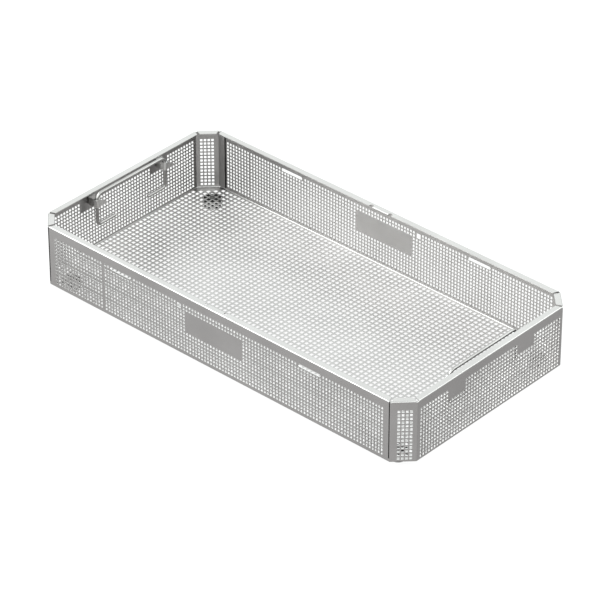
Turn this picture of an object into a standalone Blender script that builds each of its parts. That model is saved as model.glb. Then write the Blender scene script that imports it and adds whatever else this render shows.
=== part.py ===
"""Perforated steel basket with four turned feet and two lifting handles that slide in strap guides.

Metres, +Z up. The origin is at the middle of the feet's undersides, +X is the basket's length.
"""

import math

import bmesh
import bpy
from mathutils import Matrix, Vector

# The folded sheet: heights are measured from the underside of its floor
LENGTH = 0.480
WIDTH = 0.2463
WALL_HEIGHT = 0.0682
CORNER_CUT = 0.018
SHEET = 0.0008
FOOT_BEND = 0.0025
TOP_BEND = 0.002
BEND_STEPS = 3
FLANGE_WIDTH = 0.0065
CORNER_RELIEF = 0.0014

# Weld laps of the end panels inside the long walls, and the seam that stays open outside
LAP_WIDTH = 0.0075
LAP_SUNK = 0.0003
LAP_FROM_BEND = 0.0006
SEAM_GAP = 0.0007
SEAM_FROM_CORNER = 0.0003
SEAM_DEPTH = 0.0007

# Perforated fields, from edge to edge of their openings. One opening stands for a block of the
# real ones, with the same share of open width to pitch
FIELD_FROM_RIM = 0.0097
FIELD_FROM_BEND = 0.0017
LONG_FIELD_MARGIN = 0.0269
END_FIELD_MARGIN = 0.0221
CORNER_FIELD_MARGIN = 0.0019
FIELD_TOP = WALL_HEIGHT - FIELD_FROM_RIM
FIELD_BOTTOM = FOOT_BEND + FIELD_FROM_BEND
LONG_FIELD = LENGTH - 2 * LONG_FIELD_MARGIN
END_FIELD = WIDTH - 2 * END_FIELD_MARGIN
CORNER_FIELD = CORNER_CUT - 2 * CORNER_FIELD_MARGIN
CORNER_FIELD_SHIFT = 0.0012
WALL_ROWS = 4
WALL_OPEN = 0.68
FLOOR_END_MARGIN = 0.0078
FLOOR_SIDE_MARGIN = 0.00325
FLOOR_FIELD_LENGTH = LENGTH - 2 * FLOOR_END_MARGIN
FLOOR_FIELD_WIDTH = WIDTH - 2 * FLOOR_SIDE_MARGIN
FLOOR_ROWS = 9
FLOOR_OPEN = 0.66
PLAIN_EDGE = 0.0013
SMALLEST_OPENING = 0.0022

# Openings and plain places of the long walls, from the wall's middle
PANEL_WIDTH = 0.074
PANEL_HEIGHT = 0.024
PANEL_FROM_RIM = 0.0164
PANEL_TOP = WALL_HEIGHT - PANEL_FROM_RIM
PANEL_BOTTOM = PANEL_TOP - PANEL_HEIGHT
SLOT_AT = 0.1228
SLOT_LENGTH = 0.0282
SLOT_HEIGHT = 0.0034
SLOT_FROM_RIM = 0.0110
SLOT_LEVEL = WALL_HEIGHT - SLOT_FROM_RIM
SQUARE_AT = -0.0450
SQUARE_SIDE = 0.0055
SQUARE_FROM_RIM = 0.0132
SQUARE_LEVEL = WALL_HEIGHT - SQUARE_FROM_RIM
RIM_NOTCH_AT = 0.0123
RIM_NOTCH_WIDTH = 0.0042
RIM_NOTCH_DEPTH = 0.0036
NOTCH_STEPS = 5
RIM_LIP_DROP = 0.0022
RIM_LIP_PROUD = 0.0002

# Plain pads of the end walls, where the guides are welded
PAD_AT = 0.0500
PAD_WIDTH = 0.0242
PAD_HEIGHT = 0.0209
PAD_BOTTOM = WALL_HEIGHT - PAD_HEIGHT

# Sliding handles, bent from round wire
WIRE_DIAMETER = 0.0035
WIRE_FROM_WALL = 0.0110
LEG_AT = 0.0482
GRIP_BEND = 0.0065
BEARING_SHARE = 0.5
TOE_BEND = 0.0038
TOE_LENGTH = 0.0250
WIRE_ROUND_STEPS = 2
WIRE_BEND_STEPS = 5

# Guides, each a strap welded to its pad and rolled round a leg of the handle
STRAP = 0.0008
GUIDE_FROM_RIM = 0.0152
GUIDE_BOTTOM = WALL_HEIGHT - GUIDE_FROM_RIM
GUIDE_HEIGHT = 0.0084
GUIDE_CLEARANCE = 0.0003
GUIDE_PAD_LENGTH = 0.0080
GUIDE_BEND = 0.0012
ROLL_ANGLE = math.radians(300)
ROLL_STEPS = 12
LUG_ANGLE = math.radians(50)
LUG_LENGTH = 0.0130
LUG_TIP = 0.0010
SEAT_GAP = 0.0003
TOE_UNDER_GUIDE = 0.0210
TOE_LEVEL = GUIDE_BOTTOM - TOE_UNDER_GUIDE

# Feet and the rivets that hold them
FOOT_HEIGHT = 0.0090
FOOT_TOP_RADIUS = 0.0092
FOOT_BASE_RADIUS = 0.0076
FOOT_SHOULDER = 0.0030
FOOT_ROUND = 0.0010
FOOT_FROM_END = 0.0258
FOOT_FROM_SIDE = 0.0215
FOOT_AT_X = LENGTH / 2 - FOOT_FROM_END
FOOT_AT_Y = WIDTH / 2 - FOOT_FROM_SIDE
COUNTERBORE_RADIUS = 0.0040
COUNTERBORE_DEPTH = 0.0040
RIVET_RADIUS = 0.0014
RIVET_CLEARANCE = 0.0003
RIVET_HEAD_RADIUS = 0.0026
RIVET_HEAD_HEIGHT = 0.0012
RIVET_TAIL_HEIGHT = 0.0015
FOOT_SIDES = 18
RIVET_SIDES = 12

CUT_PAST = 0.002
FLOOR_UNDERSIDE = FOOT_HEIGHT
FLOOR_TOP = FLOOR_UNDERSIDE + SHEET


def clear_scene():
    for old in list(bpy.data.objects):
        bpy.data.objects.remove(old, do_unlink=True)


def finish(name, color, roughness, metallic=1.0):
    material = bpy.data.materials.new(name)
    material.use_nodes = True
    shader = material.node_tree.nodes["Principled BSDF"]
    shader.inputs["Base Color"].default_value = (*color, 1.0)
    shader.inputs["Roughness"].default_value = roughness
    shader.inputs["Metallic"].default_value = metallic
    return material


def mesh_object(name, bm, material=None):
    """A new object in the scene with the mesh of bm, which it frees."""
    mesh = bpy.data.meshes.new(name)
    bm.to_mesh(mesh)
    bm.free()
    if material:
        mesh.materials.append(material)
    made = bpy.data.objects.new(name, mesh)
    bpy.context.scene.collection.objects.link(made)
    return made


def hide_helper(helper):
    helper.hide_render = True
    helper.display_type = "WIRE"


def combine(target, helper, operation):
    modifier = target.modifiers.new(helper.name, "BOOLEAN")
    modifier.operation = operation
    modifier.solver = "EXACT"
    modifier.object = helper
    hide_helper(helper)


def add_prism(bm, outline, low, high):
    """A closed prism: outline is a counter-clockwise list of (x, y), from height low to high."""
    bottom = [bm.verts.new((x, y, low)) for x, y in outline]
    top = [bm.verts.new((x, y, high)) for x, y in outline]
    bm.faces.new(reversed(bottom))
    bm.faces.new(top)
    for i in range(len(outline)):
        j = (i + 1) % len(outline)
        bm.faces.new((bottom[i], bottom[j], top[j], top[i]))


def add_block(bm, frame, size):
    """A box of the given size about the origin of frame."""
    scale = Matrix.Diagonal((*size, 1.0))
    bmesh.ops.create_cube(bm, size=1.0, matrix=frame @ scale)


class Facet:
    """One side of the eight-sided basket, with u along it from its middle and n pointing outwards."""

    def __init__(self, start, end, kind):
        self.start = Vector(start)
        self.end = Vector(end)
        self.kind = kind
        self.length = (self.end - self.start).length
        self.u = (self.end - self.start).normalized()
        self.n = Vector((self.u.y, -self.u.x))

    def frame(self, u, depth, height):
        """Axes (u, out, up) at a place on the wall: depth is inwards from the outer face."""
        place = (self.start + self.end) / 2 + self.u * u - self.n * depth
        frame = Matrix.Identity(4)
        frame.col[0] = (self.u.x, self.u.y, 0, 0)
        frame.col[1] = (-self.n.x, -self.n.y, 0, 0)
        frame.col[2] = (0, 0, 1, 0)
        frame.col[3] = (place.x, place.y, FLOOR_UNDERSIDE + height, 1)
        return frame


def basket_facets():
    """The eight sides, counter-clockwise from the near long wall."""
    x, y, cut = LENGTH / 2, WIDTH / 2, CORNER_CUT
    corners = [
        (-x + cut, -y),
        (x - cut, -y),
        (x, -y + cut),
        (x, y - cut),
        (x - cut, y),
        (-x + cut, y),
        (-x, y - cut),
        (-x, -y + cut),
    ]
    kinds = ("long", "corner", "end", "corner") * 2
    return [Facet(corners[i], corners[(i + 1) % 8], kinds[i]) for i in range(8)]


def inset_corner(facets, i, inset):
    """The corner at the start of facet i, on the outline drawn inset from the outer one."""
    here, before = facets[i], facets[i - 1]
    return here.start - (here.n + before.n) * (inset / (1 + here.n.dot(before.n)))


def quarter(centre, outer_radius, start):
    """A bend as pairs of (inset, height): its outer and its inner side, one sheet apart."""
    pairs = []
    for k in range(BEND_STEPS + 1):
        a = start + math.pi / 2 * k / BEND_STEPS
        pairs.append([
            (centre[0] - r * math.cos(a), centre[1] + r * math.sin(a))
            for r in (outer_radius, outer_radius - SHEET)
        ])
    return pairs


def add_strips(bm, rows, flip):
    """Quads between neighbouring rows of corners, each row one loop or one pair."""
    for lower, upper in zip(rows, rows[1:]):
        for i in range(len(lower) if len(lower) > 2 else 1):
            j = (i + 1) % len(lower)
            quad = (lower[i], lower[j], upper[j], upper[i])
            bm.faces.new(reversed(quad) if flip else quad)


def folded_sheet(facets):
    """The folded sheet: floor, foot bends, walls and eight mitred lengths of flange, one sheet thick."""
    bm = bmesh.new()
    wall_top = WALL_HEIGHT - TOP_BEND

    def ring(inset, height):
        points = [inset_corner(facets, i, inset) for i in range(8)]
        return [bm.verts.new((p.x, p.y, FLOOR_UNDERSIDE + height)) for p in points]

    def across(i, inset, height):
        first = inset_corner(facets, i, inset) + facets[i].u * CORNER_RELIEF
        last = inset_corner(facets, (i + 1) % 8, inset) - facets[i].u * CORNER_RELIEF
        return [bm.verts.new((p.x, p.y, FLOOR_UNDERSIDE + height)) for p in (first, last)]

    foot = quarter((FOOT_BEND, FOOT_BEND), FOOT_BEND, -math.pi / 2)
    top = quarter((TOP_BEND, wall_top), TOP_BEND, 0)
    top.append([(FLANGE_WIDTH, WALL_HEIGHT), (FLANGE_WIDTH, WALL_HEIGHT - SHEET)])
    low, shoulder, rows = [], [], []
    for side in (0, 1):
        low.append([ring(*pair[side]) for pair in foot])
        shoulder.append(ring(side * SHEET, wall_top))
        rows.append([[across(i, *pair[side]) for pair in top] for i in range(8)])
        bm.faces.new(low[side][0] if side else reversed(low[side][0]))
        add_strips(bm, low[side], flip=side == 1)
        for i in range(8):
            j = (i + 1) % 8
            start, end = rows[side][i][0]
            wall = (low[side][-1][i], low[side][-1][j], shoulder[side][j], end, start, shoulder[side][i])
            bm.faces.new(reversed(wall) if side else wall)
            add_strips(bm, rows[side][i], flip=side == 1)

    outer, inner = rows
    for i in range(8):
        bm.faces.new((*outer[i][-1], *reversed(inner[i][-1])))
        for end in (0, 1):
            rim = [pair[end] for pair in outer[i]] + [pair[end] for pair in reversed(inner[i])]
            bm.faces.new(reversed(rim) if end else rim)
        before = (i - 1) % 8
        bm.faces.new((
            outer[before][0][1], shoulder[0][i], outer[i][0][0],
            inner[i][0][0], shoulder[1][i], inner[before][0][1],
        ))
    return bm


def weld_laps(facets):
    """The end panels' tabs against the inside of the long walls, mitred into the corner panels."""
    bm = bmesh.new()
    low = FLOOR_UNDERSIDE + FOOT_BEND + LAP_FROM_BEND
    high = FLOOR_UNDERSIDE + WALL_HEIGHT - TOP_BEND - LAP_FROM_BEND
    outer, inner = SHEET - LAP_SUNK, 2 * SHEET
    for facet in facets:
        if facet.kind != "long":
            continue
        for side in (-1, 1):
            end = side * facet.length / 2
            ends = [(end - side * LAP_WIDTH, outer), (end, outer)]
            ends += [(end + side * (inner - outer), inner), (end - side * LAP_WIDTH, inner)]
            points = [facet.frame(u, depth, 0) @ Vector((0, 0, 0)) for u, depth in ends]
            outline = [(p.x, p.y) for p in (points if side == 1 else reversed(points))]
            add_prism(bm, outline, low, high)
    return bm


def rim_lips(facets):
    """The short lips bent down from the flange at the middle of the long walls."""
    bm = bmesh.new()
    width = 2 * RIM_NOTCH_AT - RIM_NOTCH_WIDTH
    for facet in facets:
        if facet.kind == "long":
            height = SHEET / 2 + RIM_LIP_DROP
            depth = FLANGE_WIDTH + RIM_LIP_PROUD - SHEET / 2
            frame = facet.frame(0, depth, WALL_HEIGHT - SHEET / 2 - height / 2)
            add_block(bm, frame, (width, SHEET, height))
    return bm


def seam_cutter(facets):
    """Grooves at the ends of the long walls, where they stop short of the folded corner panels."""
    bm = bmesh.new()
    tall = WALL_HEIGHT - TOP_BEND - 2 * FOOT_BEND
    for facet in facets:
        if facet.kind != "long":
            continue
        for side in (-1, 1):
            u = side * (facet.length / 2 - SEAM_FROM_CORNER - SEAM_GAP / 2)
            frame = facet.frame(u, SEAM_DEPTH - CUT_PAST / 2, FOOT_BEND * 2 + tall / 2)
            add_block(bm, frame, (SEAM_GAP, CUT_PAST, tall))
    return bm


def box_about(u, v, width, height):
    return (u - width / 2, u + width / 2, v - height / 2, v + height / 2)


def trimmed(hole, plain):
    """The largest part of a box (u0, u1, v0, v1) that keeps a plain edge round another box."""
    u0, u1, v0, v1 = hole
    left, right = plain[0] - PLAIN_EDGE, plain[1] + PLAIN_EDGE
    low, high = plain[2] - PLAIN_EDGE, plain[3] + PLAIN_EDGE
    if u1 <= left or u0 >= right or v1 <= low or v0 >= high:
        return hole
    parts = [(u0, left, v0, v1), (right, u1, v0, v1), (u0, u1, v0, low), (u0, u1, high, v1)]
    return max(parts, key=lambda part: min(part[1] - part[0], part[3] - part[2]))


def large_enough(hole):
    return min(hole[1] - hole[0], hole[3] - hole[2]) >= SMALLEST_OPENING


def grid(field_u, field_v, rows, share):
    """Square openings that fill a field about its middle, edge to edge, as boxes."""
    side = field_v / ((rows - 1) / share + 1)
    row_pitch = (field_v - side) / (rows - 1)
    columns = max(1, round((field_u - side) / row_pitch) + 1)
    column_pitch = (field_u - side) / max(1, columns - 1)
    for i in range(columns):
        for k in range(rows):
            u = (i - (columns - 1) / 2) * column_pitch
            v = (k - (rows - 1) / 2) * row_pitch
            yield box_about(u, v, side, side)


def long_wall_extras():
    """Slots and the square opening of a long wall, as boxes on the wall."""
    slots = [box_about(s * SLOT_AT, SLOT_LEVEL, SLOT_LENGTH, SLOT_HEIGHT) for s in (-1, 1)]
    return [*slots, box_about(SQUARE_AT, SQUARE_LEVEL, SQUARE_SIDE, SQUARE_SIDE)]


def plain_places(facet):
    if facet.kind == "long":
        return [(-PANEL_WIDTH / 2, PANEL_WIDTH / 2, PANEL_BOTTOM, PANEL_TOP)]
    if facet.kind == "end":
        return [(s * PAD_AT - PAD_WIDTH / 2, s * PAD_AT + PAD_WIDTH / 2, PAD_BOTTOM, WALL_HEIGHT)
                for s in (-1, 1)]
    return []


def wall_openings(facets, i):
    """All openings of facet i, as boxes on the wall."""
    facet = facets[i]
    field = {"long": LONG_FIELD, "end": END_FIELD, "corner": CORNER_FIELD}[facet.kind]
    towards_end = 1 if facets[i - 1].kind == "long" else -1
    shift = towards_end * CORNER_FIELD_SHIFT if facet.kind == "corner" else 0.0
    middle = (FIELD_TOP + FIELD_BOTTOM) / 2
    extras = long_wall_extras() if facet.kind == "long" else []
    kept = []
    for u0, u1, v0, v1 in grid(field, FIELD_TOP - FIELD_BOTTOM, WALL_ROWS, WALL_OPEN):
        hole = (u0 + shift, u1 + shift, v0 + middle, v1 + middle)
        for plain in extras + plain_places(facet):
            hole = trimmed(hole, plain)
        if large_enough(hole):
            kept.append(hole)
    return kept + extras


def wall_punch(facets):
    bm = bmesh.new()
    for i, facet in enumerate(facets):
        for u0, u1, v0, v1 in wall_openings(facets, i):
            frame = facet.frame((u0 + u1) / 2, SHEET / 2, (v0 + v1) / 2)
            add_block(bm, frame, (u1 - u0, SHEET + 2 * CUT_PAST, v1 - v0))
    return bm


def foot_places():
    return [(sx * FOOT_AT_X, sy * FOOT_AT_Y) for sx in (-1, 1) for sy in (-1, 1)]


def floor_punch():
    """The floor's square openings and the four round rivet holes."""
    bm = bmesh.new()
    thick = SHEET + 2 * CUT_PAST
    middle = FLOOR_UNDERSIDE + SHEET / 2
    corner_line = LENGTH / 2 + WIDTH / 2 - CORNER_CUT - math.sqrt(2) * (FOOT_BEND + PLAIN_EDGE)
    heads = [box_about(x, y, 2 * RIVET_HEAD_RADIUS, 2 * RIVET_HEAD_RADIUS) for x, y in foot_places()]
    for hole in grid(FLOOR_FIELD_LENGTH, FLOOR_FIELD_WIDTH, FLOOR_ROWS, FLOOR_OPEN):
        for head in heads:
            hole = trimmed(hole, head)
        x0, x1, y0, y1 = hole
        past_corner = max(abs(x0), abs(x1)) + max(abs(y0), abs(y1)) > corner_line
        if not past_corner and large_enough(hole):
            place = Matrix.Translation(((x0 + x1) / 2, (y0 + y1) / 2, middle))
            add_block(bm, place, (x1 - x0, y1 - y0, thick))
    for x, y in foot_places():
        bmesh.ops.create_cone(
            bm, cap_ends=True, segments=RIVET_SIDES, depth=thick,
            radius1=RIVET_RADIUS + RIVET_CLEARANCE, radius2=RIVET_RADIUS + RIVET_CLEARANCE,
            matrix=Matrix.Translation((x, y, middle)),
        )
    return bm


def rim_notch_cutter(facets):
    """Round-ended notches in the long flanges, at both ends of each bent lip."""
    bm = bmesh.new()
    radius = RIM_NOTCH_WIDTH / 2
    for facet in facets:
        if facet.kind != "long":
            continue
        for side in (-1, 1):
            root = FLANGE_WIDTH - RIM_NOTCH_DEPTH + radius
            frame = facet.frame(side * RIM_NOTCH_AT, root, 0)
            turns = [math.pi * (k / NOTCH_STEPS + 1) for k in range(NOTCH_STEPS + 1)]
            round_end = [(radius * math.cos(a), radius * math.sin(a)) for a in turns]
            mouth = RIM_NOTCH_DEPTH + CUT_PAST
            local = [*round_end, (radius, mouth), (-radius, mouth)]
            points = [frame @ Vector((u, inwards, 0)) for u, inwards in local]
            top = FLOOR_UNDERSIDE + WALL_HEIGHT
            add_prism(bm, [(p.x, p.y) for p in points], top - SHEET - CUT_PAST, top + CUT_PAST)
    bmesh.ops.recalc_face_normals(bm, faces=bm.faces)
    return bm


def build_sheet(material):
    facets = basket_facets()
    sheet = mesh_object("basket_sheet", folded_sheet(facets), material)
    combine(sheet, mesh_object("weld_laps", weld_laps(facets)), "UNION")
    combine(sheet, mesh_object("rim_lips", rim_lips(facets)), "UNION")
    combine(sheet, mesh_object("seam_cutter", seam_cutter(facets)), "DIFFERENCE")
    combine(sheet, mesh_object("rim_notch_cutter", rim_notch_cutter(facets)), "DIFFERENCE")
    combine(sheet, mesh_object("wall_punch", wall_punch(facets)), "DIFFERENCE")
    combine(sheet, mesh_object("floor_punch", floor_punch()), "DIFFERENCE")
    return sheet


def turned_mesh(name, profile, sides, material):
    """A solid of revolution about Z: profile is a closed outline of (radius, height) points."""
    bm = bmesh.new()
    turns = [2 * math.pi * k / sides for k in range(sides)]
    rings = []
    for radius, height in profile:
        if radius == 0:
            rings.append([bm.verts.new((0, 0, height))])
        else:
            ring = [(radius * math.cos(a), radius * math.sin(a), height) for a in turns]
            rings.append([bm.verts.new(point) for point in ring])
    for lower, upper in zip(rings, rings[1:] + rings[:1]):
        for k in range(sides):
            j = (k + 1) % sides
            corners = [lower[k % len(lower)], lower[j % len(lower)]]
            corners += [upper[j % len(upper)], upper[k % len(upper)]]
            unique = list(dict.fromkeys(corners))
            if len(unique) > 2:
                bm.faces.new(unique)
    bmesh.ops.recalc_face_normals(bm, faces=bm.faces)
    made = mesh_object(name, bm, material)
    mesh = made.data
    mesh.shade_smooth()
    mesh.set_sharp_from_angle(angle=math.radians(35))
    bpy.data.objects.remove(made, do_unlink=True)
    return mesh


def foot_profile():
    """The moulded foot, bored for its rivet and counterbored from below."""
    top = FOOT_HEIGHT - SEAT_GAP
    bore = RIVET_RADIUS + RIVET_CLEARANCE
    edge = FOOT_ROUND
    rounding = [
        (FOOT_BASE_RADIUS - edge + edge * math.sin(a), edge - edge * math.cos(a))
        for a in (0, math.pi / 5, math.pi * 2 / 5)
    ]
    return [
        (COUNTERBORE_RADIUS, 0),
        *rounding,
        (FOOT_TOP_RADIUS, top - FOOT_SHOULDER),
        (FOOT_TOP_RADIUS, top - edge / 2),
        (FOOT_TOP_RADIUS - edge / 2, top),
        (bore, top),
        (bore, COUNTERBORE_DEPTH),
        (COUNTERBORE_RADIUS, COUNTERBORE_DEPTH),
    ]


def rivet_profile():
    """The set rivet: tail in the foot's counterbore, shank through foot and floor, domed head."""
    tail_top = COUNTERBORE_DEPTH - SEAT_GAP
    tail_low = tail_top - RIVET_TAIL_HEIGHT
    head_low = FLOOR_TOP + SEAT_GAP
    dome = [
        (RIVET_HEAD_RADIUS * math.cos(a), head_low + RIVET_HEAD_HEIGHT * math.sin(a))
        for a in (0, math.pi / 6, math.pi / 3)
    ]
    return [
        (0, tail_low),
        (RIVET_HEAD_RADIUS, tail_low),
        (RIVET_HEAD_RADIUS, tail_top),
        (RIVET_RADIUS, tail_top),
        (RIVET_RADIUS, head_low),
        *dome,
        (0, head_low + RIVET_HEAD_HEIGHT),
    ]


def place_copies(mesh, names, places):
    for name, (x, y, z, turn) in zip(names, places):
        copy = bpy.data.objects.new(name, mesh)
        copy.location = (x, y, z)
        copy.rotation_euler = (0, 0, turn)
        bpy.context.scene.collection.objects.link(copy)


def build_feet(plastic, rivet_steel):
    corners = ("left_near", "left_far", "right_near", "right_far")
    places = [(x, y, 0, 0) for x, y in foot_places()]
    foot = turned_mesh("foot", foot_profile(), FOOT_SIDES, plastic)
    rivet = turned_mesh("foot_rivet", rivet_profile(), RIVET_SIDES, rivet_steel)
    place_copies(foot, [f"foot_{c}" for c in corners], places)
    place_copies(rivet, [f"foot_rivet_{c}" for c in corners], places)


def bend_points(corner, before, after, radius, steps):
    """Points of a round bend at a corner between two directions, in the plane they span."""
    before, after = Vector(before).normalized(), Vector(after).normalized()
    start = Vector(corner) - before * radius
    centre = start + after * radius
    points = []
    for k in range(steps + 1):
        a = math.pi / 2 * k / steps
        points.append(centre + (before * math.sin(a) - after * math.cos(a)) * radius)
    return points


def grip_level():
    """Height of the grip at rest, where its bends bear on the guides' rolls.

    A bend leaves the leg's axis by the guide's clearance after sqrt(2 * radius * clearance).
    """
    sunk = BEARING_SHARE * math.sqrt(2 * GRIP_BEND * GUIDE_CLEARANCE)
    return GUIDE_BOTTOM + GUIDE_HEIGHT - sunk + GRIP_BEND


def handle_route():
    """The wire's middle line in the handle's own plane: toe, leg, grip, leg, toe."""
    low = TOE_LEVEL
    high = grip_level()
    up, down, across, back = (0, 0, 1), (0, 0, -1), (0, 1, 0), (0, -1, 0)
    route = [Vector((0, -LEG_AT + TOE_LENGTH, low))]
    route += bend_points((0, -LEG_AT, low), back, up, TOE_BEND, WIRE_BEND_STEPS)
    route += bend_points((0, -LEG_AT, high), up, across, GRIP_BEND, WIRE_BEND_STEPS)
    route += bend_points((0, LEG_AT, high), across, down, GRIP_BEND, WIRE_BEND_STEPS)
    route += bend_points((0, LEG_AT, low), down, back, TOE_BEND, WIRE_BEND_STEPS)
    route.append(Vector((0, LEG_AT - TOE_LENGTH, low)))
    return route


def build_handles(material):
    """Two equal wire handles, each with its origin in the plane that it slides in."""
    route = handle_route()
    for name, side in (("handle_left", -1), ("handle_right", 1)):
        curve = bpy.data.curves.new(name, "CURVE")
        curve.dimensions = "3D"
        curve.bevel_depth = WIRE_DIAMETER / 2
        curve.bevel_resolution = WIRE_ROUND_STEPS
        curve.use_fill_caps = True
        spline = curve.splines.new("POLY")
        spline.points.add(len(route) - 1)
        for point, place in zip(spline.points, route):
            point.co = (*place, 1.0)
        curve.materials.append(material)
        handle = bpy.data.objects.new(name, curve)
        handle.location = (side * (LENGTH / 2 - WIRE_FROM_WALL), 0, FLOOR_UNDERSIDE)
        handle.rotation_euler = (0, 0, 0 if side < 0 else math.pi)
        bpy.context.scene.collection.objects.link(handle)


def guide_route():
    """The strap's middle line from above, about the leg's axis: pad on the wall, arm, roll."""
    roll = WIRE_DIAMETER / 2 + GUIDE_CLEARANCE + STRAP / 2
    wall = -WIRE_FROM_WALL + SHEET + SEAT_GAP + STRAP / 2
    route = [Vector((wall, -roll + GUIDE_BEND + GUIDE_PAD_LENGTH, 0))]
    route += bend_points((wall, -roll, 0), (0, -1, 0), (1, 0, 0), GUIDE_BEND, 2)
    for k in range(ROLL_STEPS + 1):
        a = ROLL_ANGLE * k / ROLL_STEPS - math.pi / 2
        route.append(Vector((roll * math.cos(a), roll * math.sin(a), 0)))
    return route


def guide_strap():
    """The strap as a ribbon of the guide's height, given its thickness by a modifier."""
    bm = bmesh.new()
    low = [bm.verts.new((p.x, p.y, 0)) for p in guide_route()]
    high = [bm.verts.new((p.x, p.y, GUIDE_HEIGHT)) for p in guide_route()]
    for k in range(len(low) - 1):
        bm.faces.new((low[k], low[k + 1], high[k + 1], high[k]))
    return bm


def guide_lug():
    """The pointed lug beside the roll: full height at the roll, a narrow tip at its lower corner."""
    bm = bmesh.new()
    roll = WIRE_DIAMETER / 2 + GUIDE_CLEARANCE + STRAP / 2
    depth = roll * math.cos(LUG_ANGLE)
    root = roll * math.sin(LUG_ANGLE)
    outline = [(root, 0), (LUG_LENGTH, 0), (LUG_LENGTH, LUG_TIP), (root, GUIDE_HEIGHT)]
    front = [bm.verts.new((depth + STRAP / 2, y, z)) for y, z in outline]
    rear = [bm.verts.new((depth - STRAP / 2, y, z)) for y, z in outline]
    bm.faces.new(front)
    bm.faces.new(reversed(rear))
    for k in range(4):
        j = (k + 1) % 4
        bm.faces.new((rear[k], rear[j], front[j], front[k]))
    bmesh.ops.recalc_face_normals(bm, faces=bm.faces)
    return bm


def build_guides(material):
    places = []
    names = []
    for side, end in ((-1, "left"), (1, "right")):
        for row, where in ((-1, "near"), (1, "far")):
            x = side * (LENGTH / 2 - WIRE_FROM_WALL)
            places.append((x, row * LEG_AT, FLOOR_UNDERSIDE + GUIDE_BOTTOM, 0 if side < 0 else math.pi))
            names.append(f"handle_guide_{end}_{where}")
    for name, (x, y, z, turn) in zip(names, places):
        strap = mesh_object(name, guide_strap(), material)
        solid = strap.modifiers.new("strap thickness", "SOLIDIFY")
        solid.thickness = STRAP
        solid.offset = 0
        solid.use_even_offset = True
        lug = mesh_object(name + "_lug", guide_lug())
        combine(strap, lug, "UNION")
        for piece in (strap, lug):
            piece.location = (x, y, z)
            piece.rotation_euler = (0, 0, turn)


def main():
    clear_scene()
    sheet_steel = finish("brushed sheet steel", (0.56, 0.55, 0.54), 0.38)
    wire_steel = finish("polished wire steel", (0.62, 0.61, 0.60), 0.22)
    black_plastic = finish("black plastic", (0.02, 0.02, 0.02), 0.55, metallic=0.0)
    build_sheet(sheet_steel)
    build_feet(black_plastic, wire_steel)
    build_handles(wire_steel)
    build_guides(sheet_steel)


main()
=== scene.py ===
"""Dresses the perforated steel basket: its full perforation, round wires, materials, light and camera."""

import math

import bmesh
import bpy
from mathutils import Matrix, Vector
from mathutils.geometry import delaunay_2d_cdt


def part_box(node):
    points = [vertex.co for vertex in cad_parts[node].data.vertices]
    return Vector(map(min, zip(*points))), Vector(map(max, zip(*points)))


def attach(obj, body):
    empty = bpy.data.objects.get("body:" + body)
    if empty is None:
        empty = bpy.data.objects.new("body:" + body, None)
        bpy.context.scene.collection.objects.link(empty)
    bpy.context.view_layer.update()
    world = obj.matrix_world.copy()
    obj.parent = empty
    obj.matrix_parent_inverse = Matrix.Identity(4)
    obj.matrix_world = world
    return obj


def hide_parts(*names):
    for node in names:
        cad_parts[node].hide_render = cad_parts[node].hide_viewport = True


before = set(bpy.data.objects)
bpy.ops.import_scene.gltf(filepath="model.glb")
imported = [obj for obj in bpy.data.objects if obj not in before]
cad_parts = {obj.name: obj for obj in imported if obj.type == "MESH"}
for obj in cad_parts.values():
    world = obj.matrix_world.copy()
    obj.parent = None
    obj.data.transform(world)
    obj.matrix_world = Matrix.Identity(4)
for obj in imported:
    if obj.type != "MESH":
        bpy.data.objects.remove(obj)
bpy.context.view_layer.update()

SHEET_LOW, SHEET_HIGH = (Vector(corner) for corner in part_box("basket_sheet"))
LENGTH = SHEET_HIGH.x - SHEET_LOW.x
WIDTH = SHEET_HIGH.y - SHEET_LOW.y
UNDERSIDE = SHEET_LOW.z
WALL_HEIGHT = SHEET_HIGH.z - SHEET_LOW.z

# The folded sheet: heights are measured from the underside of its floor
CORNER_CUT = 0.018
SHEET = 0.0008
MIDDLE = SHEET / 2
FOLD_RADIUS = 0.0018
SEAM_CORNER_RADIUS = 0.0006
CORNER_STEPS = 3
FOOT_BEND = 0.0018
TOP_BEND = 0.0011
BEND_STEPS = 6
FLANGE_WIDTH = 0.0065
CORNER_RELIEF = 0.0014
JOIN_DISTANCE = 0.000002
CUT_SCALE = 1000
CUT_TOLERANCE = 0.00001

# Weld laps inside the long walls and the seams outside
LAP_WIDTH = 0.0075
LAP_SUNK = 0.0003
LAP_INSET = 0.0020
LAP_FROM_BEND = 0.0006
SEAM_GAP = 0.0012
SEAM_FROM_CORNER = 0.0003
SEAM_LOW = 0.0045

# Perforation of the walls, punched in blocks of columns: first and last middle and how many
TOP_ROW = 0.0572
WALL_ROWS = 14
NEAR_BLOCKS = ((-0.2121, -0.1500, 17), (-0.1437, 0.1864, 86), (0.1902, 0.2122, 7))
FAR_BLOCKS = ((-0.2121, -0.1500, 17), (-0.1466, -0.1432, 2), (-0.1398, 0.1786, 83), (0.1831, 0.2112, 8))
LONG_ROW_PITCH = 0.003914
END_BLOCKS = ((-0.0997, 0.0997, 51),)
END_ROW_PITCH = 0.004039
CORNER_BLOCKS = ((-0.00576, 0.00576, 4),)
CORNER_SHIFT = 0.0012
WALL_HOLE = 0.00255

# Perforation of the floor
FLOOR_COLUMNS = 88
FLOOR_ROWS = 44
FLOOR_PITCH_X = 0.0054215
FLOOR_PITCH_Y = 0.005493
FLOOR_HOLE = 0.0037
FLOOR_CORNER_REACH = 0.336

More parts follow.
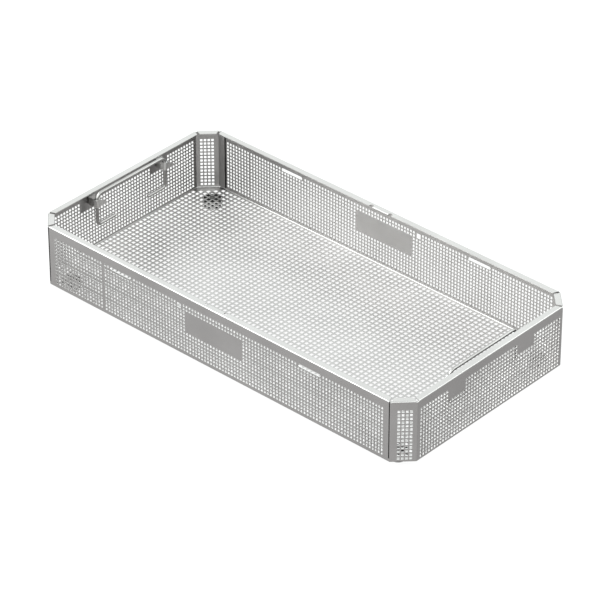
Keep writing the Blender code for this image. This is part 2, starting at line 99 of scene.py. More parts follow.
# Plain places and larger openings of the long walls
PANEL_HALF = 0.0355
PANEL_ROWS = range(2, 8)
SLOT_AT = 0.1228
SLOT_LENGTH = 0.0282
SLOT_HEIGHT = 0.0034
SLOT_STEPS = 5
SQUARE_AT = -0.0450
SQUARE_SIDE = 0.0055
SQUARE_LEVEL = 0.0550
KEEP_CLEAR = 0.0004
NOTCH_AT = 0.0123
NOTCH_WIDTH = 0.0042
NOTCH_DEPTH = 0.0036
NOTCH_STEPS = 8
LIP_BEND = 0.0007
LIP_DROP = 0.0019

# Plain pads of the end walls
PAD_AT = 0.0500
PAD_HALF = 0.0118
PAD_ROWS = range(0, 3)

# Handles, bent from round wire
WIRE_RADIUS = 0.00175
WIRE_FROM_WALL = 0.0110
LEG_AT = 0.0482
GRIP_BEND = 0.0065
TOE_BEND = 0.0038
TOE_LENGTH = 0.0250
WIRE_SIDES = 20
WIRE_STEPS = 10
WIRE_CHAMFER = 0.0004

# Strap guides
STRAP = 0.0008
GUIDE_CLEARANCE = 0.0003
GUIDE_PAD_LENGTH = 0.0080
GUIDE_BEND = 0.0012
GUIDE_BEND_STEPS = 6
ROLL_ANGLE = math.radians(300)
ROLL_STEPS = 30
LUG_ANGLE = math.radians(50)
LUG_LENGTH = 0.0130
LUG_TIP = 0.0010
SEAT_GAP = 0.0003

# Feet and rivets
FOOT_TOP_RADIUS = 0.0092
FOOT_BASE_RADIUS = 0.0090
FOOT_SHOULDER = 0.0030
FOOT_ROUND = 0.0010
FOOT_ROUND_STEPS = 5
COUNTERBORE_RADIUS = 0.0040
COUNTERBORE_DEPTH = 0.0040
RIVET_RADIUS = 0.0014
RIVET_CLEARANCE = 0.0003
RIVET_HEAD_RADIUS = 0.0026
RIVET_HEAD_HEIGHT = 0.0012
RIVET_TAIL_HEIGHT = 0.0015
RIVET_DOME_STEPS = 7
RIVET_HOLE_SIDES = 16
TURNED_SIDES = 48

# Angles in degrees from which an edge is shown sharp
SHEET_SHARP = 40.0
FOOT_SHARP = 35.0
WIRE_SHARP = 30.0

# Places of the sheet's other materials in its list, after that of its faces: cut edges painted bright or
# dark as painted light and shade, and flange tops painted lighter
PAINTED_BRIGHT_EDGE, SHADED_EDGE, PAINTED_WALL_EDGE, LIT_RIM_FACE = 1, 2, 3, 4
FACES_UP = 0.9

# Materials: scales are grains per metre
NOISE_LOW, NOISE_HIGH = 0.3, 0.7
ROLLED = (60.0, 1500.0, 1500.0)
ROLLED_UPRIGHT = (1500.0, 1500.0, 60.0)
PUNCHED = (1500.0, 1500.0, 1500.0)
DRAWN = (900.0, 900.0, 900.0)
MOULDED = (2600.0, 2600.0, 2600.0)
CLOUDS = (22.0, 22.0, 22.0)
FLOOR_CLOUDS = (3.0, 3.0, 3.0)
FINE_BUMP, COARSE_BUMP = 0.00001, 0.00002
STEEL_BUMP_STRENGTH = 0.35
PLASTIC_BUMP, PLASTIC_BUMP_STRENGTH = 0.00005, 0.5
PLASTIC_SHINE = 0.15
FLOOR_ROUGHNESS = 0.9
# Painted shade: faces that look along X are darkened down to END_SHADE
X_FACING_SHADE_FROM, X_FACING_SHADE_FULL = 0.75, 0.95
END_SHADE = 0.86

# Camera and light
CAMERA_AZIMUTH = math.radians(42.222)
CAMERA_ELEVATION = math.radians(33.606)
CAMERA_DISTANCE = 3.6354
CAMERA_LENS = 222.37
CAMERA_SENSOR = 36.0
CAMERA_REACH = 50.0
CAMERA_TARGET = Vector((-0.01948, 0.02070, UNDERSIDE + 0.0013))
FLOOR_GLOW = 0.94
FLOOR_REACH = 6.0
ROOM_GLOW = 1.5
SKY = (0.945, 1.0, 0.990)
SOFT_BOXES = (("rear", 222, 19), ("left", 318, 205), ("front", 48, 80), ("right", 138, 65))
BOX_ELEVATION = 38
BOX_DISTANCE = 2.5
BOX_SIZE = (3.2, 2.0)
BOX_TARGET = Vector((0, 0, 0.03))


def node_chain(name):
    material = bpy.data.materials.new(name)
    material.use_nodes = True
    return material, material.node_tree.nodes, material.node_tree.links


def noise(nodes, links, source, scale, detail):
    """A noise over object coordinates; scale is a number of grains per metre along X, Y and Z."""
    mapping = nodes.new("ShaderNodeMapping")
    mapping.inputs["Scale"].default_value = scale
    links.new(source, mapping.inputs["Vector"])
    texture = nodes.new("ShaderNodeTexNoise")
    texture.inputs["Scale"].default_value = 1.0
    texture.inputs["Detail"].default_value = detail
    links.new(mapping.outputs["Vector"], texture.inputs["Vector"])
    return texture.outputs["Fac"]


def spread(nodes, links, source, low, high):
    """The source, which lies about between the noise's two ends, spread from low to high."""
    ranged = nodes.new("ShaderNodeMapRange")
    ranged.inputs["From Min"].default_value = NOISE_LOW
    ranged.inputs["From Max"].default_value = NOISE_HIGH
    ranged.inputs["To Min"].default_value = low
    ranged.inputs["To Max"].default_value = high
    links.new(source, ranged.inputs["Value"])
    return ranged.outputs["Result"]


def painted_x_facing_shade(nodes, links, color):
    """The colour, darker on faces that look along X: painted shade for the dimmer light those faces get."""
    split = nodes.new("ShaderNodeSeparateXYZ")
    links.new(nodes.new("ShaderNodeTexCoord").outputs["Normal"], split.inputs["Vector"])
    size = nodes.new("ShaderNodeMath")
    size.operation = "ABSOLUTE"
    links.new(split.outputs["X"], size.inputs[0])
    shade = nodes.new("ShaderNodeMapRange")
    shade.inputs["From Min"].default_value = X_FACING_SHADE_FROM
    shade.inputs["From Max"].default_value = X_FACING_SHADE_FULL
    shade.inputs["To Min"].default_value = 1.0
    shade.inputs["To Max"].default_value = END_SHADE
    links.new(size.outputs["Value"], shade.inputs["Value"])
    scaled = nodes.new("ShaderNodeVectorMath")
    scaled.operation = "SCALE"
    links.new(color, scaled.inputs[0])
    links.new(shade.outputs["Result"], scaled.inputs["Scale"])
    return scaled.outputs["Vector"]


def blend(nodes, links, source, dark, light):
    """A colour that follows the source from dark to light."""
    mix = nodes.new("ShaderNodeMix")
    mix.data_type = "RGBA"
    mix.inputs["A"].default_value = (*dark, 1.0)
    mix.inputs["B"].default_value = (*light, 1.0)
    links.new(spread(nodes, links, source, 0.0, 1.0), mix.inputs["Factor"])
    return mix.outputs["Result"]


def uneven(nodes, links, source, strength, depth):
    """Small bumps on the surface, with the source as their height."""
    bump = nodes.new("ShaderNodeBump")
    bump.inputs["Strength"].default_value = strength
    bump.inputs["Distance"].default_value = depth
    links.new(source, bump.inputs["Height"])
    links.new(bump.outputs["Normal"], nodes["Principled BSDF"].inputs["Normal"])


def steel(name, dark, light, rough, grain, bump_depth):
    """Stainless steel with rolled grain, cloudy brightness, fine unevenness and painted shade on faces that
    look along X.
    """
    material, nodes, links = node_chain(name)
    shader = nodes["Principled BSDF"]
    shader.inputs["Metallic"].default_value = 1.0
    place = nodes.new("ShaderNodeTexCoord").outputs["Object"]
    fine = noise(nodes, links, place, grain, 3.0)
    color = blend(nodes, links, noise(nodes, links, place, CLOUDS, 2.0), dark, light)
    links.new(painted_x_facing_shade(nodes, links, color), shader.inputs["Base Color"])
    links.new(spread(nodes, links, fine, *rough), shader.inputs["Roughness"])
    uneven(nodes, links, fine, STEEL_BUMP_STRENGTH, bump_depth)
    return material


def moulded_plastic(name):
    material, nodes, links = node_chain(name)
    shader = nodes["Principled BSDF"]
    place = nodes.new("ShaderNodeTexCoord").outputs["Object"]
    fine = noise(nodes, links, place, MOULDED, 2.0)
    color = blend(nodes, links, fine, (0.006, 0.006, 0.006), (0.012, 0.012, 0.012))
    links.new(color, shader.inputs["Base Color"])
    links.new(spread(nodes, links, fine, 0.42, 0.60), shader.inputs["Roughness"])
    shader.inputs["Specular IOR Level"].default_value = PLASTIC_SHINE
    uneven(nodes, links, fine, PLASTIC_BUMP_STRENGTH, PLASTIC_BUMP)
    return material


def pale_floor(name):
    """A pale light table: its own glow keeps the ground white in the basket's shadow too."""
    material, nodes, links = node_chain(name)
    shader = nodes["Principled BSDF"]
    place = nodes.new("ShaderNodeTexCoord").outputs["Object"]
    cloud = noise(nodes, links, place, FLOOR_CLOUDS, 2.0)
    color = blend(nodes, links, cloud, (0.020, 0.020, 0.020), (0.026, 0.026, 0.026))
    links.new(color, shader.inputs["Base Color"])
    shader.inputs["Roughness"].default_value = FLOOR_ROUGHNESS
    shader.inputs["Emission Color"].default_value = (1.0, 1.0, 1.0, 1.0)
    shader.inputs["Emission Strength"].default_value = FLOOR_GLOW
    return material


def mesh_piece(name, bm, materials, sharp_angle):
    """A shown object with the mesh of bm: smooth, but sharp where faces meet at more than an angle."""
    bm.normal_update()
    bmesh.ops.recalc_face_normals(bm, faces=bm.faces)
    mesh = bpy.data.meshes.new(name)
    bm.to_mesh(mesh)
    bm.free()
    for material in materials:
        mesh.materials.append(material)
    mesh.shade_smooth()
    mesh.set_sharp_from_angle(angle=math.radians(sharp_angle))
    made = bpy.data.objects.new(name, mesh)
    bpy.context.scene.collection.objects.link(made)
    weighted = made.modifiers.new("weighted normals", "WEIGHTED_NORMAL")
    weighted.keep_sharp = True
    return made


def add_thick(solid, bm, thickness, materials):
    """Add to solid the mesh of bm, with thickness to both sides; the second material is for its edges."""
    mesh = bpy.data.meshes.new("sheet surface")
    bm.to_mesh(mesh)
    bm.free()
    for material in materials:
        mesh.materials.append(material)
    helper = bpy.data.objects.new("sheet surface", mesh)
    bpy.context.scene.collection.objects.link(helper)
    both_sides = helper.modifiers.new("thickness", "SOLIDIFY")
    both_sides.thickness = thickness
    both_sides.offset = 0.0
    both_sides.use_even_offset = True
    both_sides.material_offset_rim = 1
    seen = helper.evaluated_get(bpy.context.evaluated_depsgraph_get())
    solid.from_mesh(seen.to_mesh())
    bpy.data.objects.remove(helper, do_unlink=True)


class Side:
    """One side of the eight-sided basket, with u along it from its middle and n pointing outwards."""

    def __init__(self, start, end, kind):
        self.start = Vector(start)
        self.end = Vector(end)
        self.kind = kind
        self.length = (self.end - self.start).length
        self.u = (self.end - self.start).normalized()
        self.n = Vector((self.u.y, -self.u.x))

    def at(self, u, inset, height):
        place = (self.start + self.end) / 2 + self.u * u - self.n * inset
        return Vector((place.x, place.y, UNDERSIDE + height))


def basket_sides():
    x, y, cut = LENGTH / 2, WIDTH / 2, CORNER_CUT
    corners = [
        (-x + cut, -y), (x - cut, -y), (x, -y + cut), (x, y - cut),
        (x - cut, y), (-x + cut, y), (-x, y - cut), (-x, -y + cut),
    ]
    kinds = ("long", "corner", "end", "corner") * 2
    return [Side(corners[i], corners[(i + 1) % 8], kinds[i]) for i in range(8)]


SIDES = basket_sides()


def mitre(i, inset):
    """The sharp corner at the start of side i, on the outline drawn inset from the outer one."""
    here, before = SIDES[i], SIDES[i - 1]
    return here.start - (here.n + before.n) * (inset / (1 + here.n.dot(before.n)))


def corner_arc(i, inset):
    """The rounded corner at the start of side i; its radius runs out as the inset grows."""
    full = SEAM_CORNER_RADIUS if "long" in (SIDES[i].kind, SIDES[i - 1].kind) else FOLD_RADIUS
    radius = max(full - inset, 0.0)
    centre = mitre(i, inset + radius)
    turns = [Matrix.Rotation(math.radians(45) * k / CORNER_STEPS, 2) for k in range(CORNER_STEPS + 1)]
    return [centre + (turn @ SIDES[i - 1].n) * radius for turn in turns]


def quarter(inset, height, start):
    """The sheet's middle line round a bend, as (inset, height) pairs about a centre."""
    radius = inset - MIDDLE
    turns = [start + math.pi / 2 * k / BEND_STEPS for k in range(BEND_STEPS + 1)]
    return [(inset - radius * math.cos(a), height + radius * math.sin(a)) for a in turns]


def box_loop(u, v, width, height):
    return [
        (u - width / 2, v - height / 2), (u + width / 2, v - height / 2),
        (u + width / 2, v + height / 2), (u - width / 2, v + height / 2),
    ]


def slot_loop(u, v, width, height):
    """A slot with rounded ends."""
    radius = height / 2
    loop = []
    for side, start in ((1, -math.pi / 2), (-1, math.pi / 2)):
        for k in range(SLOT_STEPS + 1):
            a = start + math.pi * k / SLOT_STEPS
            loop.append((u + side * (width / 2 - radius) + radius * math.cos(a), v + radius * math.sin(a)))
    return loop


def round_loop(u, v, radius):
    turns = [2 * math.pi * k / RIVET_HOLE_SIDES for k in range(RIVET_HOLE_SIDES)]
    return [(u + radius * math.cos(a), v + radius * math.sin(a)) for a in turns]


def overlaps(loop, others, clearance):
    """Whether a loop's box comes nearer to any other loop's box than the clearance."""
    us, vs = [p[0] for p in loop], [p[1] for p in loop]
    for other in others:
        ou, ov = [p[0] for p in other], [p[1] for p in other]
        if (min(us) < max(ou) + clearance and max(us) > min(ou) - clearance
                and min(vs) < max(ov) + clearance and max(vs) > min(ov) - clearance):
            return True
    return False


def add_plate(bm, place, outline, holes):
    """A flat plate with holes: loops are lists of (u, v), and place turns (u, v) into a point."""
    coords, edges, owner = [], [], []
    for number, loop in enumerate([outline, *holes]):
        first = len(coords)
        coords += [Vector(point) * CUT_SCALE for point in loop]
        owner += [number] * len(loop)
        edges += [(first + k, first + (k + 1) % len(loop)) for k in range(len(loop))]
    face = [list(range(len(outline)))]
    verts, _, faces, origins, _, _ = delaunay_2d_cdt(coords, edges, face, 1, CUT_TOLERANCE)
    made = [bm.verts.new(place(v.x / CUT_SCALE, v.y / CUT_SCALE)) for v in verts]
    loops = [owner[origin[0]] if origin else 0 for origin in origins]
    for face in faces:
        owners = {loops[k] for k in face}
        if owners == {0} or len(owners) > 1:
            bm.faces.new([made[k] for k in face])


def column_middles(blocks, shift):
    """The middles of all columns of some blocks, each block evenly spaced from end to end."""
    return [first + (last - first) * k / (count - 1) + shift
            for first, last, count in blocks for k in range(count)]


def wall_holes(i):
    """The holes of side i as loops of (u, height)."""
    side = SIDES[i]
    extras, shift = [], 0.0
    if side.kind == "long":
        blocks, row_pitch = NEAR_BLOCKS if side.n.y < 0 else FAR_BLOCKS, LONG_ROW_PITCH
        extras = [slot_loop(s * SLOT_AT, TOP_ROW, SLOT_LENGTH, SLOT_HEIGHT) for s in (-1, 1)]
        extras.append(box_loop(SQUARE_AT, SQUARE_LEVEL, SQUARE_SIDE, SQUARE_SIDE))
        low, high = SEAM_LOW, WALL_HEIGHT - TOP_BEND - SEAM_FROM_CORNER
        for s in (-1, 1):
            u = s * (side.length / 2 - SEAM_FROM_CORNER - SEAM_GAP / 2)
            extras.append(box_loop(u, (low + high) / 2, SEAM_GAP, high - low))
    elif side.kind == "end":
        blocks, row_pitch = END_BLOCKS, END_ROW_PITCH
    else:
        blocks, row_pitch = CORNER_BLOCKS, END_ROW_PITCH
        shift = CORNER_SHIFT if SIDES[i - 1].kind == "long" else -CORNER_SHIFT
    holes = []
    for u in column_middles(blocks, shift):
        for row in range(WALL_ROWS):
            loop = box_loop(u, TOP_ROW - row * row_pitch, WALL_HOLE, WALL_HOLE)
            on_panel = side.kind == "long" and row in PANEL_ROWS and abs(u) < PANEL_HALF
            on_pad = side.kind == "end" and row in PAD_ROWS and abs(abs(u) - PAD_AT) < PAD_HALF
            if not on_panel and not on_pad and not overlaps(loop, extras, KEEP_CLEAR):
                holes.append(loop)
    return holes + extras


def foot_places():
    """The middles of the feet, from their parts in model.glb."""
    places = {}
    for where in ("left_near", "left_far", "right_near", "right_far"):
        low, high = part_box(f"foot_{where}")
        places[where] = ((low[0] + high[0]) / 2, (low[1] + high[1]) / 2)
    return places


def floor_holes():
    feet = foot_places().values()
    holes = [round_loop(x, y, RIVET_RADIUS + RIVET_CLEARANCE) for x, y in feet]
    for column in range(FLOOR_COLUMNS):
        for row in range(FLOOR_ROWS):
            x = (column - (FLOOR_COLUMNS - 1) / 2) * FLOOR_PITCH_X
            y = (row - (FLOOR_ROWS - 1) / 2) * FLOOR_PITCH_Y
            at_rivet = any(math.hypot(x - fx, y - fy) < FLOOR_HOLE / 2 for fx, fy in feet)
            if abs(x) + abs(y) < FLOOR_CORNER_REACH and not at_rivet:
                holes.append(box_loop(x, y, FLOOR_HOLE, FLOOR_HOLE))
    return holes


def add_strip(bm, first, second):
    """Quads between two rows of points."""
    low = [bm.verts.new(point) for point in first]
    high = [bm.verts.new(point) for point in second]
    for k in range(len(low) - 1):
        bm.faces.new((low[k], low[k + 1], high[k + 1], high[k]))


def add_rows(bm, rows):
    for first, second in zip(rows, rows[1:]):
        add_strip(bm, first, second)


def ring_part(i, inset, height):
    """Corner i's rounded run of points, lifted to a height."""
    return [Vector((p.x, p.y, UNDERSIDE + height)) for p in corner_arc(i, inset)]


def flange_ends(i, inset):
    """Where side i's flange starts and stops at an inset, as u on the side."""
    side = SIDES[i]
    middle = (side.start + side.end) / 2
    first = (mitre(i, inset) - middle).dot(side.u) + CORNER_RELIEF
    last = (mitre((i + 1) % 8, inset) - middle).dot(side.u) - CORNER_RELIEF
    return first, last


def notch_loop(at):
    """A notch in the flange's edge as (u, inset), from its right mouth corner round to its left."""
    radius = NOTCH_WIDTH / 2
    root = FLANGE_WIDTH - NOTCH_DEPTH + radius
    turns = [math.pi * k / NOTCH_STEPS for k in range(NOTCH_STEPS + 1)]
    return [(at + radius * math.cos(a), root - radius * math.sin(a)) for a in turns]


def long_flange(bm, i):
    """A long wall's flange, with its two notches and the short lip bent down between them."""
    side = SIDES[i]
    inner_first, inner_last = flange_ends(i, FLANGE_WIDTH)
    outer_first, outer_last = flange_ends(i, TOP_BEND)
    lip_half = NOTCH_AT - NOTCH_WIDTH / 2
    lip_start = FLANGE_WIDTH - LIP_BEND
    right = [(NOTCH_AT + NOTCH_WIDTH / 2, FLANGE_WIDTH), *notch_loop(NOTCH_AT), (lip_half, lip_start)]
    left = [(-u, inset) for u, inset in reversed(right)]
    outline = [(outer_first, TOP_BEND), (outer_last, TOP_BEND), (inner_last, FLANGE_WIDTH)]
    outline += [*right, *left, (inner_first, FLANGE_WIDTH)]
    height = WALL_HEIGHT - MIDDLE
    add_plate(bm, lambda u, inset: side.at(u, inset, height), outline, [])
    radius = LIP_BEND - MIDDLE
    rows = []
    for k in range(BEND_STEPS + 1):
        a = math.pi / 2 * k / BEND_STEPS
        rows.append((lip_start + radius * math.sin(a), height - radius * (1 - math.cos(a))))
    rows.append((lip_start + radius, WALL_HEIGHT - LIP_DROP))
    add_rows(bm, [[side.at(-lip_half, *row), side.at(lip_half, *row)] for row in rows])


def edge_kind(place, feet):
    """The material of a cut edge: painted bright as a highlight in the floor, painted less bright in the
    walls, painted dark as shade over feet and in seams.
    """
    if place.z > UNDERSIDE + SHEET:
        seam = LENGTH / 2 - CORNER_CUT - SEAM_FROM_CORNER - SEAM_GAP / 2
        in_seam = abs(abs(place.x) - seam) < SEAM_GAP and abs(place.y) > WIDTH / 2 - SHEET
        return SHADED_EDGE if in_seam else PAINTED_WALL_EDGE
    over_foot = any(math.hypot(place.x - x, place.y - y) < FOOT_TOP_RADIUS for x, y in feet)
    return SHADED_EDGE if over_foot else PAINTED_BRIGHT_EDGE


def build_sheet(materials):
    bm = bmesh.new()
    wall_top = WALL_HEIGHT - TOP_BEND
    foot = quarter(FOOT_BEND, FOOT_BEND, -math.pi / 2)
    top = quarter(TOP_BEND, wall_top, 0.0)
    flat = foot[0][0]
    outline = [tuple(mitre(i, flat)) for i in range(8)]
    add_plate(bm, lambda x, y: Vector((x, y, UNDERSIDE + MIDDLE)), outline, floor_holes())
    for i, side in enumerate(SIDES):
        j = (i + 1) % 8
        add_rows(bm, [ring_part(i, *pair) for pair in [*foot, (MIDDLE, wall_top)]])
        add_rows(bm, [[ring_part(i, *pair)[-1], ring_part(j, *pair)[0]] for pair in foot])
        middle = (side.start + side.end) / 2
        low_u = (corner_arc(i, MIDDLE)[-1] - middle).dot(side.u)
        high_u = (corner_arc(j, MIDDLE)[0] - middle).dot(side.u)
        start_u, stop_u = flange_ends(i, MIDDLE)
        outline = [(low_u, FOOT_BEND), (high_u, FOOT_BEND), (high_u, wall_top)]
        outline += [(stop_u, wall_top), (start_u, wall_top), (low_u, wall_top)]
        add_plate(bm, lambda u, v, side=side: side.at(u, MIDDLE, v), outline, wall_holes(i))
        rows = [[side.at(u, *pair) for u in flange_ends(i, pair[0])] for pair in top]
        add_rows(bm, rows)
        if side.kind == "long":
            long_flange(bm, i)
        else:
            height = WALL_HEIGHT - MIDDLE
            inner = [side.at(u, FLANGE_WIDTH, height) for u in flange_ends(i, FLANGE_WIDTH)]
            add_strip(bm, rows[-1], inner)
    bmesh.ops.remove_doubles(bm, verts=bm.verts, dist=JOIN_DISTANCE)
    bmesh.ops.recalc_face_normals(bm, faces=bm.faces)
    thick = bmesh.new()
    add_thick(thick, bm, SHEET, materials)
    feet = list(foot_places().values())
    # Cut edges take painted highlight or painted shade by where they are
    for face in thick.faces:
        place = face.calc_center_median()
        if face.material_index == PAINTED_BRIGHT_EDGE:
            face.material_index = edge_kind(place, feet)
        # Upward faces of the flange take a smoother copy of the sheet steel, painted brighter as light
        # falling on the flange tops
        elif face.normal.z > FACES_UP and place.z > UNDERSIDE + WALL_HEIGHT - MIDDLE:
            face.material_index = LIT_RIM_FACE
    add_laps(thick)
    return mesh_piece("sheet_perforated", thick, materials, SHEET_SHARP)


def add_laps(bm):
    """The end panels' tabs against the inside of the long walls, with their cut edges painted near black as
    shade.
    """
    low, high = FOOT_BEND + LAP_FROM_BEND, WALL_HEIGHT - TOP_BEND - LAP_FROM_BEND
    outer, inner = SHEET - LAP_SUNK, LAP_INSET
    for side in SIDES:
        if side.kind != "long":
            continue
        for s in (-1, 1):
            end = s * side.length / 2
            plan = [(end - s * LAP_WIDTH, outer), (end, outer)]
            plan += [(end + s * (inner - outer), inner), (end - s * LAP_WIDTH, inner)]
            bottom = [bm.verts.new(side.at(u, inset, low)) for u, inset in plan]
            top = [bm.verts.new(side.at(u, inset, high)) for u, inset in plan]
            bm.faces.new(bottom)
            bm.faces.new(top)
            for k in range(4):
                j = (k + 1) % 4
                wall = bm.faces.new((bottom[k], bottom[j], top[j], top[k]))
                if k in (0, 3):
                    wall.material_index = SHADED_EDGE


def bend_points(corner, before, after, radius, steps):
    """Points of a round bend at a corner between two directions, in the plane they span."""
    before, after = Vector(before).normalized(), Vector(after).normalized()
    centre = Vector(corner) - before * radius + after * radius
    turns = [math.pi / 2 * k / steps for k in range(steps + 1)]
    return [centre + (before * math.sin(a) - after * math.cos(a)) * radius for a in turns]


def add_tube(bm, route, radius, sides):
    """A round wire along a route that lies in a plane x = constant, with chamfered ends."""
    points = [Vector(p) for p in route]
    first = (points[1] - points[0]).normalized()
    last = (points[-1] - points[-2]).normalized()
    stations = [(points[0], radius - WIRE_CHAMFER), (points[0] + first * WIRE_CHAMFER, radius)]
    stations += [(p, radius) for p in points[1:-1]]
    stations += [(points[-1] - last * WIRE_CHAMFER, radius), (points[-1], radius - WIRE_CHAMFER)]
    across = Vector((1, 0, 0))
    rings = []
    for k, (point, size) in enumerate(stations):
        ahead = stations[min(k + 1, len(stations) - 1)][0] - stations[max(k - 1, 0)][0]
        up = ahead.normalized().cross(across)
        turns = [2 * math.pi * s / sides for s in range(sides)]
        rings.append([bm.verts.new(point + (across * math.cos(a) + up * math.sin(a)) * size) for a in turns])
    for lower, upper in zip(rings, rings[1:]):
        for s in range(sides):
            t = (s + 1) % sides
            bm.faces.new((lower[s], lower[t], upper[t], upper[s]))
    bm.faces.new(rings[0])
    bm.faces.new(reversed(rings[-1]))


def build_handle(node, side, material):
    low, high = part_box(node)
    x = side * (LENGTH / 2 - WIRE_FROM_WALL)
    toe, grip = low[2] + WIRE_RADIUS, high[2] - WIRE_RADIUS
    up, down, across, back = (0, 0, 1), (0, 0, -1), (0, 1, 0), (0, -1, 0)
    route = [Vector((x, -LEG_AT + TOE_LENGTH, toe))]
    route += bend_points((x, -LEG_AT, toe), back, up, TOE_BEND, WIRE_STEPS)
    route += bend_points((x, -LEG_AT, grip), up, across, GRIP_BEND, WIRE_STEPS)
    route += bend_points((x, LEG_AT, grip), across, down, GRIP_BEND, WIRE_STEPS)
    route += bend_points((x, LEG_AT, toe), down, back, TOE_BEND, WIRE_STEPS)
    route.append(Vector((x, LEG_AT - TOE_LENGTH, toe)))
    bm = bmesh.new()
    add_tube(bm, route, WIRE_RADIUS, WIRE_SIDES)
    return mesh_piece(node + "_wire", bm, [material], WIRE_SHARP)


def build_guide(node, side, row, materials):
    """The strap guide: pad on the wall, arm, roll round the leg and the pointed lug."""
    low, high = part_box(node)
    tall = high[2] - low[2]
    roll = WIRE_RADIUS + GUIDE_CLEARANCE + STRAP / 2
    wall = -WIRE_FROM_WALL + SHEET + SEAT_GAP + STRAP / 2
    route = [Vector((wall, -roll + GUIDE_BEND + GUIDE_PAD_LENGTH, 0))]
    route += bend_points((wall, -roll, 0), (0, -1, 0), (1, 0, 0), GUIDE_BEND, GUIDE_BEND_STEPS)
    for k in range(ROLL_STEPS + 1):
        a = ROLL_ANGLE * k / ROLL_STEPS - math.pi / 2
        route.append(Vector((roll * math.cos(a), roll * math.sin(a), 0)))
    rolled, lug, thick = bmesh.new(), bmesh.new(), bmesh.new()
    add_strip(rolled, route, [p + Vector((0, 0, tall)) for p in route])
    bmesh.ops.remove_doubles(rolled, verts=rolled.verts, dist=JOIN_DISTANCE)
    depth, root = roll * math.cos(LUG_ANGLE), roll * math.sin(LUG_ANGLE)
    outline = [(root, 0.0), (LUG_LENGTH, 0.0), (LUG_LENGTH, LUG_TIP), (root, tall)]
    lug.faces.new([lug.verts.new((depth, y, z)) for y, z in outline])
    add_thick(thick, rolled, STRAP, materials)
    add_thick(thick, lug, STRAP, materials)
    turn = Matrix.Rotation(0.0 if side < 0 else math.pi, 4, "Z")
    place = Matrix.Translation((side * (LENGTH / 2 - WIRE_FROM_WALL), row * LEG_AT, low[2]))
    thick.transform(place @ turn)
    return mesh_piece(node + "_strap", thick, materials, SHEET_SHARP)


def turned(bm, profile, x, y):
    """A solid of revolution about the upright line through (x, y)."""
    turns = [2 * math.pi * k / TURNED_SIDES for k in range(TURNED_SIDES)]
    rings = []
    for radius, height in profile:
        if radius == 0:
            rings.append([bm.verts.new((x, y, height))])
        else:
            rings.append([bm.verts.new((x + radius * math.cos(a), y + radius * math.sin(a), height))
                          for a in turns])
    for lower, upper in zip(rings, rings[1:] + rings[:1]):
        for k in range(TURNED_SIDES):
            j = (k + 1) % TURNED_SIDES
            corners = [lower[k % len(lower)], lower[j % len(lower)]]
            corners += [upper[j % len(upper)], upper[k % len(upper)]]
            unique = list(dict.fromkeys(corners))
            if len(unique) > 2:
                bm.faces.new(unique)


def build_foot(where, x, y, material):
    top, edge = UNDERSIDE - SEAT_GAP, FOOT_ROUND
    bore = RIVET_RADIUS + RIVET_CLEARANCE
    turns = [math.pi / 2 * k / FOOT_ROUND_STEPS for k in range(FOOT_ROUND_STEPS)]
    base = [(FOOT_BASE_RADIUS - edge + edge * math.sin(a), edge - edge * math.cos(a)) for a in turns]
    crown = [(FOOT_TOP_RADIUS - edge / 2 + edge / 2 * math.cos(a), top - edge / 2 + edge / 2 * math.sin(a))
             for a in turns]
    profile = [(COUNTERBORE_RADIUS, 0.0), *base, (FOOT_TOP_RADIUS, top - FOOT_SHOULDER), *crown]
    profile += [(FOOT_TOP_RADIUS - edge / 2, top), (bore, top), (bore, COUNTERBORE_DEPTH)]
    profile += [(COUNTERBORE_RADIUS, COUNTERBORE_DEPTH)]
    bm = bmesh.new()
    turned(bm, profile, x, y)
    return mesh_piece(f"foot_{where}_moulded", bm, [material], FOOT_SHARP)


def build_rivet(where, x, y, material):
    tail_top = COUNTERBORE_DEPTH - SEAT_GAP
    head_low = UNDERSIDE + SHEET + SEAT_GAP
    turns = [math.pi / 2 * k / RIVET_DOME_STEPS for k in range(RIVET_DOME_STEPS)]
    dome = [(RIVET_HEAD_RADIUS * math.cos(a), head_low + RIVET_HEAD_HEIGHT * math.sin(a)) for a in turns]
    profile = [(0, tail_top - RIVET_TAIL_HEIGHT), (RIVET_HEAD_RADIUS, tail_top - RIVET_TAIL_HEIGHT)]
    profile += [(RIVET_HEAD_RADIUS, tail_top), (RIVET_RADIUS, tail_top), (RIVET_RADIUS, head_low)]
    profile += [*dome, (0, head_low + RIVET_HEAD_HEIGHT)]
    bm = bmesh.new()
    turned(bm, profile, x, y)
    return mesh_piece(f"foot_rivet_{where}_set", bm, [material], SHEET_SHARP)


def stand_for(piece, node, body):
    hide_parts(node)
    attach(piece, body)


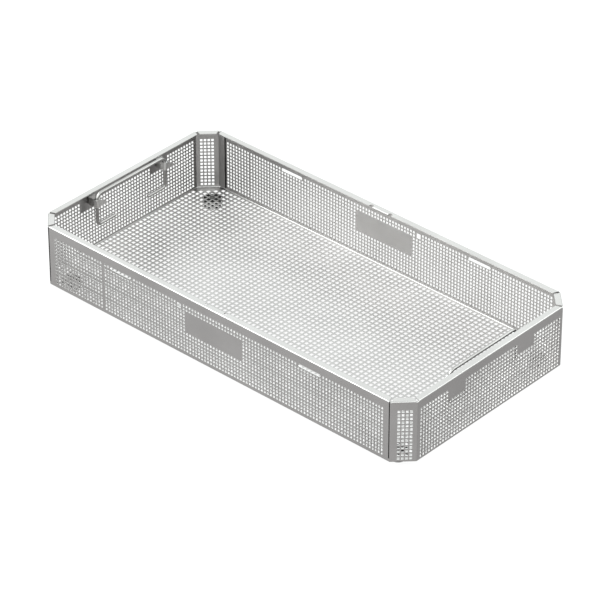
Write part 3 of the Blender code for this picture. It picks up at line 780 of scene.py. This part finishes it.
def build_object():
    sheet_steel = steel("satin sheet steel", (0.255, 0.246, 0.243), (0.282, 0.272, 0.269), (0.32, 0.40),
                        ROLLED, COARSE_BUMP)
    strap_steel = steel("bright strap steel", (0.400, 0.390, 0.385), (0.480, 0.470, 0.465), (0.26, 0.34),
                        ROLLED_UPRIGHT, FINE_BUMP)
    wire_steel = steel("smooth wire steel", (0.215, 0.207, 0.203), (0.260, 0.250, 0.246), (0.40, 0.48),
                       DRAWN, FINE_BUMP)
    painted_bright_edge_steel = steel("punched edge painted bright", (0.74, 0.735, 0.73), (0.84, 0.835, 0.83), (0.20, 0.35),
                       PUNCHED, FINE_BUMP)
    # Wall hole edges are painted lighter than the sheet as a painted highlight, weaker than the floor's
    painted_wall_edge_steel = steel("punched wall edge painted light", (0.44, 0.43, 0.425), (0.52, 0.51, 0.505), (0.25, 0.38),
                       PUNCHED, FINE_BUMP)
    # The rim steel is the sheet steel painted brighter as painted light, and a little smoother
    lit_rim_steel = steel("smooth rim with painted light", (0.315, 0.304, 0.300), (0.345, 0.333, 0.329), (0.26, 0.34),
                      ROLLED, FINE_BUMP)
    # Near-black steel for edges in seams, over the feet and at the laps: painted shade
    shade_painted_edge_steel = steel("cut edge painted as shade", (0.010, 0.009, 0.009), (0.020, 0.018, 0.017), (0.50, 0.65),
                      PUNCHED, COARSE_BUMP)
    rivet_steel = steel("dull rivet steel", (0.070, 0.067, 0.065), (0.100, 0.096, 0.094), (0.40, 0.50),
                        DRAWN, FINE_BUMP)
    plastic = moulded_plastic("black moulded plastic")
    sheet = build_sheet([sheet_steel, painted_bright_edge_steel, shade_painted_edge_steel, painted_wall_edge_steel, lit_rim_steel])
    stand_for(sheet, "basket_sheet", "basket")
    for side, end in ((-1, "left"), (1, "right")):
        handle = build_handle(f"handle_{end}", side, wire_steel)
        stand_for(handle, f"handle_{end}", f"{end}_handle")
        for row, where in ((-1, "near"), (1, "far")):
            node = f"handle_guide_{end}_{where}"
            stand_for(build_guide(node, side, row, [strap_steel, painted_bright_edge_steel]), node, "basket")
    for where, (x, y) in foot_places().items():
        foot, rivet = f"foot_{where}", f"foot_rivet_{where}"
        stand_for(build_foot(where, x, y, plastic), foot, "basket")
        stand_for(build_rivet(where, x, y, rivet_steel), rivet, "basket")


def direction(azimuth, elevation):
    return Vector((
        math.sin(azimuth) * math.cos(elevation),
        -math.cos(azimuth) * math.cos(elevation),
        math.sin(elevation),
    ))


def aim(thing, place, target):
    thing.location = place
    thing.rotation_euler = (target - place).to_track_quat("-Z", "Y").to_euler()
    bpy.context.scene.collection.objects.link(thing)


def add_camera():
    data = bpy.data.cameras.new("photo view")
    data.lens = CAMERA_LENS
    data.sensor_width = CAMERA_SENSOR
    data.clip_end = CAMERA_REACH
    camera = bpy.data.objects.new("photo view", data)
    away = direction(CAMERA_AZIMUTH, CAMERA_ELEVATION) * CAMERA_DISTANCE
    aim(camera, CAMERA_TARGET + away, CAMERA_TARGET)
    bpy.context.scene.camera = camera


def add_soft_box(name, azimuth, energy):
    data = bpy.data.lights.new(name, "AREA")
    data.shape = "RECTANGLE"
    data.size, data.size_y = BOX_SIZE
    data.energy = energy
    data.color = SKY
    lamp = bpy.data.objects.new(name, data)
    away = direction(math.radians(azimuth), math.radians(BOX_ELEVATION)) * BOX_DISTANCE
    aim(lamp, BOX_TARGET + away, BOX_TARGET)


def add_studio():
    world = bpy.data.worlds.new("studio")
    world.use_nodes = True
    background = world.node_tree.nodes["Background"]
    background.inputs["Color"].default_value = (*SKY, 1.0)
    background.inputs["Strength"].default_value = ROOM_GLOW
    bpy.context.scene.world = world
    for name, azimuth, energy in SOFT_BOXES:
        add_soft_box(f"{name} soft box", azimuth, energy)
    bm = bmesh.new()
    bmesh.ops.create_grid(bm, x_segments=8, y_segments=8, size=FLOOR_REACH)
    floor = mesh_piece("studio_floor", bm, [pale_floor("pale floor")], SHEET_SHARP)


build_object()
add_camera()
add_studio()
bpy.context.scene.view_settings.view_transform = "Standard"
